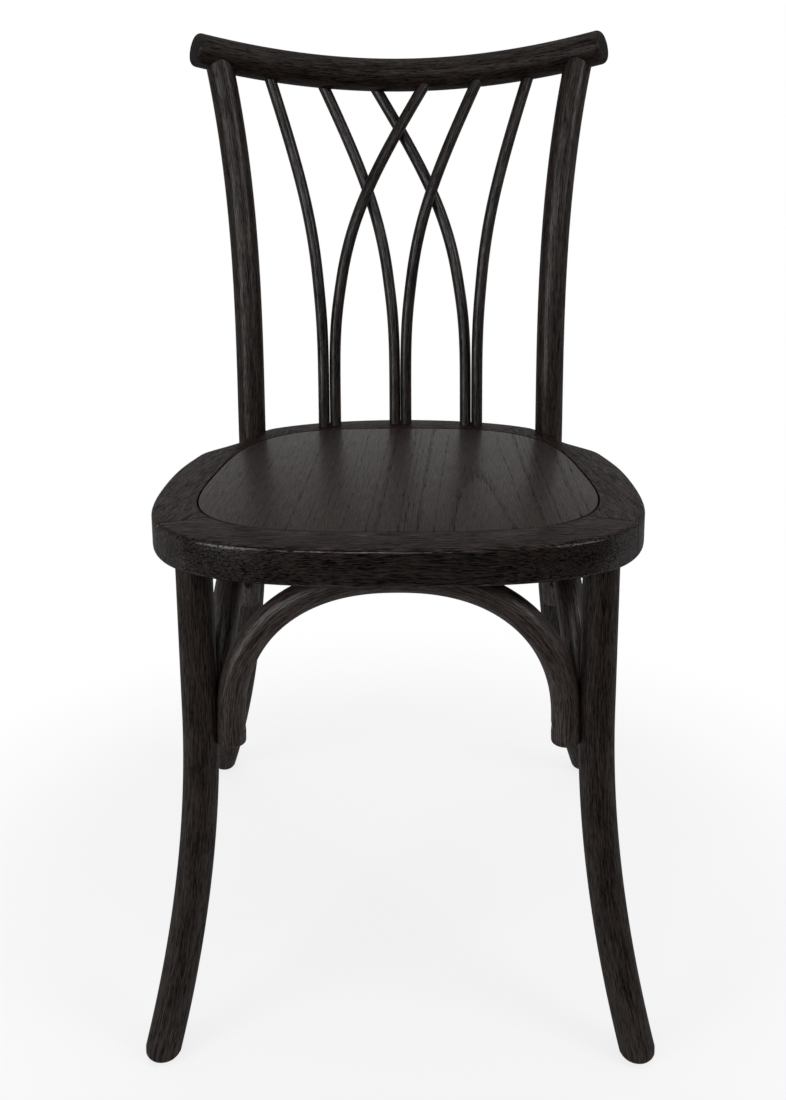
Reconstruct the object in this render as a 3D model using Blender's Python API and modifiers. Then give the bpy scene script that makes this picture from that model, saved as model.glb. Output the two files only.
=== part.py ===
"""Wooden dining chair with bowed back legs, arched braces and six crossing back spindles.

Metres, +Z up, the sitter faces -Y. Left and right are as seen from the front.
"""

import math

import bmesh
import bpy
from mathutils import Matrix, Vector

# Clearance between pieces that touch, and how far a cutter runs past what it cuts
GAP = 0.0003
CUT_PAST = 0.02

# Seat frame
SEAT_HEIGHT = 0.460
SEAT_THICKNESS = 0.0315
SEAT_WIDTH = 0.425
SEAT_DEPTH = 0.424
SEAT_EDGE_RADIUS = 0.004
WIDEST_AHEAD = 0.060
FRONT_EDGE_RUN = 0.165
CORNER_RUN = 0.118
SIDE_SWEEP = 0.080
SHOULDER_FROM_POST = (0.039, 0.0825)
SHOULDER_SWEEP = (0.0075, 0.036)
BACK_SWEEP = (0.026, 0.022)
BACK_EDGE_RUN = 0.070

# Seat panel, let into the frame on a ledge
RING_SIDE = 0.041
RING_FRONT = 0.042
PANEL_TAPER = 0.095
PANEL_SQUARENESS = 3.3
PANEL_RECESS = 0.014
PANEL_EDGE_RADIUS = 0.0008
LEDGE_WIDTH = 0.046

# Joints of the four seat rails and the dowels across them
FRONT_JOINT_FROM_SIDE = 0.034
FRONT_JOINT_FROM_FRONT = 0.0715
FRONT_JOINT_ANGLE = math.radians(-23.0)
BACK_JOINT_FROM_POST = (0.0364, 0.0092)
BACK_JOINT_ANGLE = math.radians(46.0)
DOWEL_DIAMETER = 0.006
DOWEL_LENGTH = 0.024
DOWEL_SPACING = 0.012
DOWEL_FROM_TOP = 0.0115

# Back legs, each one bent piece from the floor to the crest rail
BACK_LEG_DIAMETER = 0.0285
POST_FROM_SIDE = 0.055
POST_FROM_BACK = 0.055
POST_CLEAR_FRONT = (0.009, 0.0445)
POST_CLEAR_BACK = (0.0125, 0.0115)
BACK_FOOT_OUT = 0.068
BACK_FOOT_BACK = 0.126
LOWER_BOW_POWER = 2.2
FLARE_POWER = 2.8
LEAN_POWER = 1.5

# Crest rail
CREST_LENGTH = 0.421
CREST_DIAMETER = 0.0345
CREST_HEIGHT = 0.831
CREST_BEHIND_SEAT = 0.038
CREST_RISE = 0.0248
CREST_BOW = 0.0535
CREST_END_RADIUS = 0.005
POST_FROM_CREST_END = 0.0225
POST_TENON_DIAMETER = 0.016
POST_TENON_REACH = 0.008
POST_TENON_ROOT = 0.040

# Spindles, named from the left by where they meet the crest rail
SPINDLE_DIAMETER = 0.0118
SPINDLE_PITCH = 0.0121
SPINDLE_PAIR_SPACING = 0.0765
SPINDLE_FROM_BACK = 0.0185
SPINDLE_SEAT_DEPTH = 0.014
SPINDLE_CREST_SHORT = 0.006
SPINDLE_STEP = 0.0069
SPINDLE_KNEE = 0.215
SPINDLE_STIFFNESS = 0.915
SPINDLE_HOLD = 0.150
CREST_SPACING = (0.0304, 0.0855, 0.1388)

# Front legs
FRONT_LEG_DIAMETER = 0.030
FRONT_LEG_FROM_SIDE = 0.0475
FRONT_LEG_FROM_FRONT = 0.055
FRONT_FOOT_OUT = 0.0385
FRONT_FOOT_AHEAD = 0.042
FRONT_BEND_HEIGHT = 0.300
LEG_TENON_DIAMETER = 0.020
LEG_TENON_LENGTH = 0.014

# Arched braces under the seat
ARCH_DIAMETER = 0.0245
ARCH_END_HEIGHT = 0.271
ARCH_SPRING_HEIGHT = 0.290
ARCH_SQUARENESS = 2.25
ARCH_BITE = 0.0016
ARCH_FLAT = 0.0004
SIDE_ARCH_INSETS = (0.011, 0.0)
SIDE_ARCH_LEAN = 0.012
ARCH_END_RADIUS = 0.003

# Feet and glides
FOOT_RADIUS = 0.0065
GLIDE_DIAMETER = 0.016
GLIDE_HEIGHT = 0.0025
GLIDE_EDGE = 0.0008
NAIL_DIAMETER = 0.0024
NAIL_LENGTH = 0.014

# Screws of the braces and bolts of the back legs
SCREW_DIAMETER = 0.004
SCREW_HEAD_DIAMETER = 0.008
SCREW_HEAD_HEIGHT = 0.003
SCREW_LENGTH = 0.032
SCREW_TIP = 0.004
SCREW_SINK = 0.0012
CROWN_SCREW_SPACING = 0.044
END_SCREW_ABOVE_END = 0.014
SIDE_SCREW_LIFT = 0.012
BOLT_DIAMETER = 0.006
BOLT_HEAD_DIAMETER = 0.013
BOLT_HEAD_HEIGHT = 0.004
BOLT_LENGTH = 0.046
BOLT_SINK = 0.0025
BOLT_ANGLE = math.radians(19.0)

# Facets
LEG_SIDES = 14
ARCH_SIDES = 10
SPINDLE_SIDES = 10
SCREW_SIDES = 8
GLIDE_SIDES = 12
OUTLINE_STEPS = 9
PANEL_STEPS = 48
BEND_STEPS = 10
ARCH_STEPS = 18
SPINDLE_STEPS = 16
CREST_STEPS = 16
ROUND_STEPS = 3
SMOOTH_ANGLE = math.radians(40.0)

# Values that follow from the sizes above
HALF_WIDTH = SEAT_WIDTH / 2
HALF_DEPTH = SEAT_DEPTH / 2
SEAT_BOTTOM = SEAT_HEIGHT - SEAT_THICKNESS
LEDGE_TOP = SEAT_HEIGHT - PANEL_RECESS
POST_X = HALF_WIDTH - POST_FROM_SIDE
POST_Y = HALF_DEPTH - POST_FROM_BACK
CREST_Y = HALF_DEPTH + CREST_BEHIND_SEAT
POST_TOP_X = CREST_LENGTH / 2 - POST_FROM_CREST_END
FRONT_LEG_X = HALF_WIDTH - FRONT_LEG_FROM_SIDE
FRONT_LEG_Y = FRONT_LEG_FROM_FRONT - HALF_DEPTH
ARCH_CROWN = SEAT_BOTTOM - ARCH_DIAMETER / 2 + ARCH_FLAT
SIDES = {"left": -1, "right": 1}

# Colour, roughness and metallic of each material
STAINED_WOOD = ((0.018, 0.015, 0.014, 1.0), 0.45, 0.0)
BLACK_STEEL = ((0.050, 0.048, 0.046, 1.0), 0.4, 1.0)
BLACK_NYLON = ((0.012, 0.012, 0.012, 1.0), 0.5, 0.0)
BARE_DOWEL = ((0.42, 0.28, 0.16, 1.0), 0.6, 0.0)


# Scene set-up
def clear_scene():
    for item in list(bpy.data.objects):
        bpy.data.objects.remove(item, do_unlink=True)


def new_collection(name):
    group = bpy.data.collections.new(name)
    bpy.context.scene.collection.children.link(group)
    return group


def new_material(name, colour, roughness, metallic):
    material = bpy.data.materials.new(name)
    material.use_nodes = True
    shader = material.node_tree.nodes["Principled BSDF"]
    shader.inputs["Base Color"].default_value = colour
    shader.inputs["Roughness"].default_value = roughness
    shader.inputs["Metallic"].default_value = metallic
    return material


clear_scene()
CHAIR = new_collection("dining_chair")
CUTTERS = new_collection("cutters")
WOOD = new_material("stained_wood", *STAINED_WOOD)
STEEL = new_material("black_steel", *BLACK_STEEL)
NYLON = new_material("black_nylon", *BLACK_NYLON)
BEECH = new_material("bare_dowel", *BARE_DOWEL)
ROOT = bpy.data.objects.new("chair_origin", None)
bpy.context.scene.collection.objects.link(ROOT)


# Making and cutting objects
def add_part(name, mesh, material, place=None):
    part = bpy.data.objects.new(name, mesh)
    mesh.materials.clear()
    mesh.materials.append(material)
    mesh.shade_smooth()
    mesh.set_sharp_from_angle(angle=SMOOTH_ANGLE)
    CHAIR.objects.link(part)
    part.parent = ROOT
    if place is not None:
        part.matrix_local = place
    return part


def add_cutter(name, mesh, place=None):
    cutter = bpy.data.objects.new(name, mesh)
    CUTTERS.objects.link(cutter)
    cutter.parent = ROOT
    cutter.hide_render = True
    cutter.display_type = "WIRE"
    if place is not None:
        cutter.matrix_local = place
    return cutter


def boolean(part, tool, operation):
    modifier = part.modifiers.new(tool.name, "BOOLEAN")
    modifier.operation = operation
    modifier.solver = "EXACT"
    modifier.object = tool


def cut(part, *tools):
    for tool in tools:
        boolean(part, tool, "DIFFERENCE")


def mesh_of(item):
    """Turns a curve or modified object into a plain welded mesh and removes the object."""
    graph = bpy.context.evaluated_depsgraph_get()
    mesh = bpy.data.meshes.new_from_object(item.evaluated_get(graph), depsgraph=graph)
    work = bmesh.new()
    work.from_mesh(mesh)
    bmesh.ops.remove_doubles(work, verts=work.verts, dist=GAP / 100)
    bmesh.ops.recalc_face_normals(work, faces=work.faces)
    work.to_mesh(mesh)
    work.free()
    bpy.data.objects.remove(item, do_unlink=True)
    return mesh


def show_for_a_moment(name, data):
    item = bpy.data.objects.new(name, data)
    bpy.context.scene.collection.objects.link(item)
    return item


def tube(name, points, radii, sides):
    """A round bar along points, with a radius at each point and closed ends."""
    widest = max(radii)
    curve = bpy.data.curves.new(name, "CURVE")
    curve.dimensions = "3D"
    curve.bevel_depth = widest
    curve.bevel_resolution = (sides - 4) // 2
    curve.use_fill_caps = True
    spline = curve.splines.new("POLY")
    spline.points.add(len(points) - 1)
    for knot, point, radius in zip(spline.points, points, radii):
        knot.co = (*point, 1.0)
        knot.radius = radius / widest
    return mesh_of(show_for_a_moment(name, curve))


def plate(name, outlines, low, high, edge=0.0):
    """A flat board between two heights, cut to closed outlines, with eased edges."""
    curve = bpy.data.curves.new(name, "CURVE")
    curve.dimensions = "2D"
    curve.fill_mode = "BOTH"
    curve.extrude = (high - low) / 2 - edge
    curve.bevel_depth = edge
    curve.bevel_resolution = 1
    curve.offset = -edge
    for outline in outlines:
        spline = curve.splines.new("POLY")
        spline.points.add(len(outline) - 1)
        spline.use_cyclic_u = True
        for knot, point in zip(spline.points, outline):
            knot.co = (point[0], point[1], 0.0, 1.0)
    mesh = mesh_of(show_for_a_moment(name, curve))
    mesh.transform(Matrix.Translation((0, 0, (high + low) / 2)))
    return mesh


def turned(name, profile, steps):
    """A turned piece about Z, from a profile of radius and height, top to bottom."""
    mesh = bpy.data.meshes.new(name)
    points = [(radius, 0.0, height) for radius, height in profile]
    edges = [(i, i + 1) for i in range(len(points) - 1)]
    mesh.from_pydata(points, edges, [])
    item = show_for_a_moment(name, mesh)
    screw = item.modifiers.new("turn", "SCREW")
    screw.steps = steps
    screw.render_steps = steps
    screw.use_merge_vertices = True
    screw.merge_threshold = GAP / 100
    return mesh_of(item)


def box(name, size):
    work = bmesh.new()
    bmesh.ops.create_cube(work, size=1.0)
    bmesh.ops.scale(work, vec=size, verts=work.verts)
    mesh = bpy.data.meshes.new(name)
    work.to_mesh(mesh)
    work.free()
    return mesh


def aimed(origin, direction):
    """Places a turned piece with its foot at origin and its axis along direction."""
    turn = Vector(direction).to_track_quat("Z", "Y").to_matrix().to_4x4()
    return Matrix.Translation(origin) @ turn


# Curves that the pieces follow
def bezier(a, b, c, d, t):
    s = 1 - t
    return s * s * s * a + 3 * s * s * t * b + 3 * s * t * t * c + t * t * t * d


def bezier_run(anchors, steps):
    """Points of one cubic stretch, its last point left out."""
    return [bezier(*anchors, i / steps) for i in range(steps)]


def half_outline():
    """The right half of the seat's outline, from its front middle to its back middle."""
    front = Vector((0, -HALF_DEPTH))
    side = Vector((HALF_WIDTH, -WIDEST_AHEAD))
    shoulder = Vector((POST_X + SHOULDER_FROM_POST[0], POST_Y - SHOULDER_FROM_POST[1]))
    flat = Vector((POST_X + POST_CLEAR_FRONT[0], POST_Y - POST_CLEAR_FRONT[1]))
    corner = Vector((POST_X - POST_CLEAR_BACK[0], POST_Y + POST_CLEAR_BACK[1]))
    back = Vector((0, HALF_DEPTH))
    front_bend = front + Vector((FRONT_EDGE_RUN, 0))
    side_bend = side - Vector((0, CORNER_RUN))
    side_lead = side + Vector((0, SIDE_SWEEP))
    shoulder_lead = shoulder + Vector((SHOULDER_SWEEP[0], -SHOULDER_SWEEP[1]))
    corner_lead = corner + Vector((-BACK_SWEEP[0], BACK_SWEEP[1]))
    back_lead = back + Vector((BACK_EDGE_RUN, 0))
    points = bezier_run((front, front_bend, side_bend, side), OUTLINE_STEPS)
    points += bezier_run((side, side_lead, shoulder_lead, shoulder), OUTLINE_STEPS)
    points += [shoulder, flat]
    points += bezier_run((corner, corner_lead, back_lead, back), OUTLINE_STEPS)
    return points + [back]


def seat_outline():
    right = half_outline()
    left = [Vector((-p.x, p.y)) for p in reversed(right[1:-1])]
    return right + left


def back_edge(x):
    """How far back the seat's outline reaches at x."""
    points = half_outline()[-OUTLINE_STEPS - 1:]
    for a, b in zip(points, points[1:]):
        if b.x <= abs(x) <= a.x:
            share = (abs(x) - b.x) / (a.x - b.x)
            return b.y + share * (a.y - b.y)
    return points[0].y


def signed_power(value, power):
    return math.copysign(abs(value) ** power, value)


def panel_outline(inset):
    """The panel's rounded outline, drawn in by inset and narrower towards the back."""
    half_width = HALF_WIDTH - RING_SIDE - inset
    half_depth = HALF_DEPTH - RING_FRONT - inset
    power = 2 / PANEL_SQUARENESS
    points = []
    for i in range(PANEL_STEPS):
        angle = 2 * math.pi * i / PANEL_STEPS
        y = half_depth * signed_power(math.sin(angle), power)
        x = (half_width - PANEL_TAPER * y) * signed_power(math.cos(angle), power)
        points.append((x, y))
    return points


def crest_point(x):
    share = (2 * x / CREST_LENGTH) ** 2
    return Vector((x, CREST_Y - CREST_BOW * share, CREST_HEIGHT + CREST_RISE * share))


def back_leg_point(z, side):
    """The back leg's centre at height z: upright at the seat, bowed above and below."""
    top = crest_point(POST_TOP_X)
    if z >= SEAT_HEIGHT:
        share = (z - SEAT_HEIGHT) / (top.z - SEAT_HEIGHT)
        x = POST_X + (POST_TOP_X - POST_X) * share ** FLARE_POWER
        y = POST_Y + (top.y - POST_Y) * share ** LEAN_POWER
    else:
        share = (1 - z / SEAT_HEIGHT) ** LOWER_BOW_POWER
        x = POST_X + BACK_FOOT_OUT * share
        y = POST_Y + BACK_FOOT_BACK * share
    return Vector((side * x, y, z))


def front_leg_point(z, side):
    """The front leg's centre at height z: straight, then splayed out to the foot."""
    share = max(0.0, 1 - z / FRONT_BEND_HEIGHT) ** 2
    x = FRONT_LEG_X + FRONT_FOOT_OUT * share
    return Vector((side * x, FRONT_LEG_Y - FRONT_FOOT_AHEAD * share, z))


def spaced(low, high, steps):
    return [low + (high - low) * i / steps for i in range(steps + 1)]


def rounding(radius):
    """Pairs of inset and distance from the end, for an end rounded by radius."""
    turns = [math.pi / 2 * i / ROUND_STEPS for i in range(ROUND_STEPS + 1)]
    return [(radius * (1 - math.sin(a)), radius * (1 - math.cos(a))) for a in turns]


def foot_base(path):
    """The middle of a foot, where its rounding ends."""
    return path(GLIDE_HEIGHT + GAP + FOOT_RADIUS)


def footed(path, diameter, heights):
    """Points and radii of a leg: a rounded upright foot, then the bend through heights."""
    radius = diameter / 2
    base = foot_base(path)
    points = []
    radii = []
    for inset, rise in rounding(FOOT_RADIUS):
        points.append(Vector((base.x, base.y, GLIDE_HEIGHT + GAP + rise)))
        radii.append(radius - inset)
    for z in heights:
        points.append(path(z))
        radii.append(radius)
    return points, radii


# Seat frame, dowels and panel
def half_space(name, x, y, angle, side):
    """A block that covers everything on the rear side of a joint line."""
    reach = SEAT_WIDTH + SEAT_DEPTH
    block = box(name, (2 * reach, reach, SEAT_THICKNESS + 2 * CUT_PAST))
    turn = Matrix.Rotation(side * angle, 4, "Z")
    place = Matrix.Translation((side * x, y, SEAT_HEIGHT - SEAT_THICKNESS / 2))
    return block, place @ turn, reach / 2


def joint_block(name, joint, side, behind):
    """A cutter for one face of a rail joint, half a clearance back from the joint line."""
    x, y, angle = joint
    block, place, half = half_space(name, x, y, angle, side)
    shift = half - GAP / 2 if behind else GAP / 2 - half
    return add_cutter(name, block, place @ Matrix.Translation((0, shift, 0)))


FRONT_JOINT = (
    HALF_WIDTH - FRONT_JOINT_FROM_SIDE,
    FRONT_JOINT_FROM_FRONT - HALF_DEPTH,
    FRONT_JOINT_ANGLE,
)
BACK_JOINT = (
    POST_X - BACK_JOINT_FROM_POST[0],
    POST_Y + BACK_JOINT_FROM_POST[1],
    BACK_JOINT_ANGLE,
)


def seat_blank(name):
    outlines = [seat_outline(), panel_outline(LEDGE_WIDTH)]
    return plate(name, outlines, SEAT_BOTTOM, SEAT_HEIGHT, SEAT_EDGE_RADIUS)


def dowel_places(joint, side):
    """The two dowels across a rail joint, either side of its middle."""
    x, y, angle = joint
    along = Vector((side * math.cos(angle), math.sin(angle), 0))
    across = Vector((-side * math.sin(angle), math.cos(angle), 0))
    middle = Vector((side * x, y, SEAT_HEIGHT - DOWEL_FROM_TOP))
    start = middle - across * DOWEL_LENGTH / 2
    return [aimed(start + along * DOWEL_SPACING * share, across) for share in (-0.5, 0.5)]


def rod(name, diameter, low, high, steps):
    radius = diameter / 2
    return turned(name, [(0, high), (radius, high), (radius, low), (0, low)], steps)


def make_dowels():
    """Eight dowels, two across each joint. Returns their cutters by end and side."""
    mesh = rod("dowel", DOWEL_DIAMETER, 0, DOWEL_LENGTH, SPINDLE_SIDES)
    hole = rod("dowel_hole", DOWEL_DIAMETER + 2 * GAP, -GAP, DOWEL_LENGTH + GAP, SPINDLE_SIDES)
    holes = {}
    for end, joint in (("front", FRONT_JOINT), ("back", BACK_JOINT)):
        for name, side in SIDES.items():
            holes[end, name] = []
            for number, place in enumerate(dowel_places(joint, side), 1):
                label = f"seat_dowel_{end}_{name}_{number}"
                add_part(label, mesh.copy(), BEECH, place)
                holes[end, name].append(add_cutter("hole_" + label, hole, place))
    return holes


def middle_block(name, side):
    """A cutter that takes away the half of the seat across the middle."""
    block = box(name, (SEAT_WIDTH, 2 * SEAT_DEPTH, SEAT_THICKNESS + 2 * CUT_PAST))
    x = -side * SEAT_WIDTH / 2
    return add_cutter(name, block, Matrix.Translation((x, 0, SEAT_BOTTOM)))


def make_seat_frame(dowel_holes):
    """Front, left, right and back rails, cut from one blank along the joint lines."""
    recess = plate("panel_recess", [panel_outline(0.0)], LEDGE_TOP, SEAT_HEIGHT + CUT_PAST)
    recess = add_cutter("panel_recess", recess)
    rails = {}
    for rail in ("front", "left", "right", "back"):
        name = f"seat_{rail}_rail"
        rails[rail] = add_part(name, seat_blank(name), WOOD)
    for name, side in SIDES.items():
        rear = joint_block(f"behind_front_joint_{name}", FRONT_JOINT, side, True)
        cut(rails["front"], rear)
        cut(rails[name], joint_block(f"ahead_front_joint_{name}", FRONT_JOINT, side, False))
        cut(rails[name], joint_block(f"behind_back_joint_{name}", BACK_JOINT, side, True))
        cut(rails[name], middle_block(f"other_half_{name}", side))
        cut(rails["back"], joint_block(f"ahead_back_joint_{name}", BACK_JOINT, side, False))
    for (end, name), holes in dowel_holes.items():
        cut(rails[end], *holes)
        cut(rails[name], *holes)
    for rail in rails.values():
        cut(rail, recess)
    return rails


def make_panel():
    outline = panel_outline(GAP)
    mesh = plate("seat_panel", [outline], LEDGE_TOP + GAP, SEAT_HEIGHT, PANEL_EDGE_RADIUS)
    return add_part("seat_panel", mesh, WOOD)


# Legs
def make_front_leg(name, side, front_rail):
    """A bent leg whose round tenon goes up into the seat's front rail."""

    def path(z):
        return front_leg_point(z, side)

    heights = spaced(foot_base(path).z, FRONT_BEND_HEIGHT, BEND_STEPS)[1:]
    points, radii = footed(path, FRONT_LEG_DIAMETER, heights + [SEAT_BOTTOM - GAP])
    leg = add_part(f"front_leg_{name}", tube("front_leg", points, radii, LEG_SIDES), WOOD)
    grown = tube("front_leg_cope", points, [r + GAP for r in radii], LEG_SIDES)
    cope = add_cutter(f"front_leg_cope_{name}", grown)
    root = SEAT_BOTTOM - LEG_TENON_LENGTH
    tip = SEAT_BOTTOM + LEG_TENON_LENGTH
    place = Matrix.Translation((side * FRONT_LEG_X, FRONT_LEG_Y, 0))
    tenon = rod("leg_tenon", LEG_TENON_DIAMETER, root, tip, LEG_SIDES)
    mortise = rod("leg_mortise", LEG_TENON_DIAMETER + 2 * GAP, root, tip + GAP, LEG_SIDES)
    boolean(leg, add_cutter(f"leg_tenon_{name}", tenon, place), "UNION")
    cut(front_rail, add_cutter(f"leg_mortise_{name}", mortise, place))
    return leg, cope


def make_crest_rail():
    """The round bent top rail, with eased ends."""
    half = CREST_LENGTH / 2
    ends = [(-half + rise, inset) for inset, rise in rounding(CREST_END_RADIUS)]
    middle = spaced(ends[-1][0], -ends[-1][0], CREST_STEPS)[1:-1]
    stations = ends + [(x, 0.0) for x in middle] + [(-x, inset) for x, inset in reversed(ends)]
    points = [crest_point(x) for x, inset in stations]
    radii = [CREST_DIAMETER / 2 - inset for x, inset in stations]
    rail = add_part("crest_rail", tube("crest_rail", points, radii, LEG_SIDES), WOOD)
    cope = tube("crest_cope", points, [r + GAP for r in radii], LEG_SIDES)
    return rail, add_cutter("crest_cope", cope)


def make_back_leg(name, side, crest, cope, side_rail):
    """A bowed leg let into the seat's side and coped and tenoned under the crest rail."""
    top = crest_point(POST_TOP_X).z

    def path(z):
        return back_leg_point(z, side)

    heights = spaced(foot_base(path).z, SEAT_HEIGHT, BEND_STEPS)[1:]
    heights += spaced(SEAT_HEIGHT, top, BEND_STEPS)[1:]
    points, radii = footed(path, BACK_LEG_DIAMETER, heights)
    leg = add_part(f"back_leg_{name}", tube("back_leg", points, radii, LEG_SIDES), WOOD)
    grown = tube("back_leg_notch", points, [r + GAP for r in radii], LEG_SIDES)
    notch = add_cutter(f"back_leg_notch_{name}", grown)
    cut(side_rail, notch)
    cut(leg, cope)
    stretch = [path(z) for z in (top - POST_TENON_ROOT, top, top + POST_TENON_REACH)]
    radius = POST_TENON_DIAMETER / 2
    tenon = tube("post_tenon", stretch, [radius] * len(stretch), ARCH_SIDES)
    stretch[-1] = path(top + POST_TENON_REACH + GAP)
    mortise = tube("post_mortise", stretch, [radius + GAP] * len(stretch), ARCH_SIDES)
    boolean(leg, add_cutter(f"post_tenon_{name}", tenon), "UNION")
    cut(crest, add_cutter(f"post_mortise_{name}", mortise))
    return leg, notch


# Spindles: where each one meets the crest, which foot it runs to, and which layer it is in
def spindle_plan():
    inner, middle, outer = CREST_SPACING
    near = SPINDLE_PAIR_SPACING - SPINDLE_PITCH / 2
    far = SPINDLE_PAIR_SPACING + SPINDLE_PITCH / 2
    half = SPINDLE_PITCH / 2
    return [
        (-outer, -far, 0),
        (-middle, -half, 1),
        (-inner, near, 1),
        (inner, -near, -1),
        (middle, half, -1),
        (outer, far, 0),
    ]


def spindle_path(top_x, foot_x, layer, past):
    """A spindle's centre line: held upright from the seat, bent, then straight to the crest."""
    step = Vector((0, layer * SPINDLE_STEP, 0))
    foot_y = back_edge(foot_x) - SPINDLE_FROM_BACK
    foot = Vector((foot_x, foot_y, SEAT_HEIGHT - SPINDLE_SEAT_DEPTH))
    top = crest_point(top_x) - Vector((0, 0, SPINDLE_CREST_SHORT))
    lean = SPINDLE_KNEE / (top.z - foot.z)
    knee_y = foot_y + (top.y - foot_y) * lean * lean
    knee = Vector((foot_x, knee_y, foot.z + SPINDLE_KNEE)) + step
    top += step
    low = foot.lerp(knee, SPINDLE_STIFFNESS)
    high = top.lerp(knee, SPINDLE_STIFFNESS)
    points = [bezier(foot, low, high, top, i / SPINDLE_STEPS) for i in range(SPINDLE_STEPS + 1)]
    for point in points:
        rise = min(1.0, (point.z - foot.z) / SPINDLE_HOLD)
        point.x = foot_x + (point.x - foot_x) * rise * rise * (3 - 2 * rise)
    points[0] -= (points[1] - points[0]).normalized() * past
    points[-1] += (points[-1] - points[-2]).normalized() * past
    return points


def make_spindles(crest, back_rail):
    """Six bent spindles, each with its ends in drilled sockets."""
    for number, plan in enumerate(spindle_plan(), 1):
        name = f"spindle_{number}"
        points = spindle_path(*plan, 0.0)
        radius = SPINDLE_DIAMETER / 2
        mesh = tube(name, points, [radius] * len(points), SPINDLE_SIDES)
        add_part(name, mesh, WOOD)
        points = spindle_path(*plan, GAP)
        hole = tube(name, points, [radius + GAP] * len(points), SPINDLE_SIDES)
        socket = add_cutter("socket_" + name, hole)
        cut(crest, socket)
        cut(back_rail, socket)


# Arched braces, each bent between two legs and planed flat under the seat
def arch_stations():
    """Share across the arch and height, from one end over the crown to the other."""
    power = 2 / ARCH_SQUARENESS
    stations = []
    for i in range(ARCH_STEPS + 1):
        angle = math.pi * (1 - i / ARCH_STEPS)
        share = (1 + signed_power(math.cos(angle), power)) / 2
        rise = abs(math.sin(angle)) ** power
        height = ARCH_SPRING_HEIGHT + (ARCH_CROWN - ARCH_SPRING_HEIGHT) * rise
        stations.append((share, height))
    return stations


def arch_line(start, finish, offsets, insets, lean):
    """The arch's centre line between two legs, standing off each by its own offset.

    It meets each leg towards its inner side by an inset, and leans in to its crown.
    """

    def at(share, z):
        a = start(z)
        b = finish(z)
        along = (b - a).normalized()
        rise = (z - ARCH_END_HEIGHT) / (ARCH_CROWN - ARCH_END_HEIGHT)
        a = a + along * math.sqrt(offsets[0] ** 2 - insets[0] ** 2)
        b = b - along * math.sqrt(offsets[1] ** 2 - insets[1] ** 2)
        inset = insets[0] + (insets[1] - insets[0]) * share
        inward = -math.copysign(inset + lean * rise * rise, a.x)
        return a.lerp(b, share) + Vector((inward, 0, 0))

    ends = rounding(ARCH_END_RADIUS)
    points = [at(0, ARCH_END_HEIGHT + rise) for trim, rise in ends]
    points += [at(share, z) for share, z in arch_stations()]
    points += [at(1, ARCH_END_HEIGHT + rise) for trim, rise in reversed(ends)]
    radius = ARCH_DIAMETER / 2
    eased = [radius - trim for trim, rise in ends]
    return points, eased + [radius] * (ARCH_STEPS + 1) + eased[::-1], at


def make_arch(name, legs, copes, paths, diameters, planer, rail, screws, insets, lean, lift):
    """One brace with two screws up into the seat and one into each leg."""
    offsets = [d / 2 + ARCH_DIAMETER / 2 - ARCH_BITE for d in diameters]
    points, radii, at = arch_line(*paths, offsets, insets, lean)
    arch = add_part(name, tube(name, points, radii, ARCH_SIDES), WOOD)
    cut(arch, planer, *copes)
    radius = ARCH_DIAMETER / 2 - SCREW_SINK
    span = (at(1, ARCH_CROWN) - at(0, ARCH_CROWN)).length
    for number, sign in enumerate((-1, 1), 1):
        spot = at((1 + sign * CROWN_SCREW_SPACING / span) / 2, ARCH_CROWN)
        place = aimed(spot - Vector((0, 0, radius)), (0, 0, 1))
        screws(f"{name}_crown_screw_{number}", place, [arch, rail])
    height = ARCH_END_HEIGHT + END_SCREW_ABOVE_END + lift
    for number, (leg, share) in enumerate(zip(legs, (0, 1)), 1):
        away = (at(share, height) - paths[share](height)).normalized()
        place = aimed(at(share, height) + away * radius, -away)
        screws(f"{name}_end_screw_{number}", place, [arch, leg])
    return arch


# Fasteners and glides
def screw_profile(grow, open_head):
    """A countersunk wood screw from its tip, grown on all sides for its hole."""
    shank = SCREW_DIAMETER / 2 + grow
    head = SCREW_HEAD_DIAMETER / 2 + grow
    tip = SCREW_LENGTH + grow
    return [
        (0, tip),
        (shank, tip - SCREW_TIP),
        (shank, SCREW_HEAD_HEIGHT + grow),
        (head, grow),
        (head, -open_head),
        (0, -open_head),
    ]


def screw_maker():
    """Returns a function that adds one screw and drills its hole in the pieces it joins."""
    mesh = turned("wood_screw", screw_profile(0.0, 0.0), SCREW_SIDES)
    hole = turned("screw_hole", screw_profile(GAP, CUT_PAST), SCREW_SIDES)

    def add(name, place, pieces):
        add_part(name, mesh.copy(), STEEL, place)
        drill = add_cutter("hole_" + name, hole, place)
        for piece in pieces:
            cut(piece, drill)

    return add


def bolt_profile(grow, open_head):
    """A round-headed bolt from its end, grown on all sides for its hole."""
    shank = BOLT_DIAMETER / 2 + grow
    head = BOLT_HEAD_DIAMETER / 2 + grow
    end = BOLT_LENGTH + grow
    seat = grow
    if open_head:
        return [(0, end), (shank, end), (shank, seat), (head, seat), (head, -open_head), (0, -open_head)]
    top = -BOLT_HEAD_HEIGHT
    dome = [(head, 0), (head, top / 2), (head / 2, top), (0, top)]
    return [(0, end), (shank, end), (shank, seat)] + dome


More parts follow.
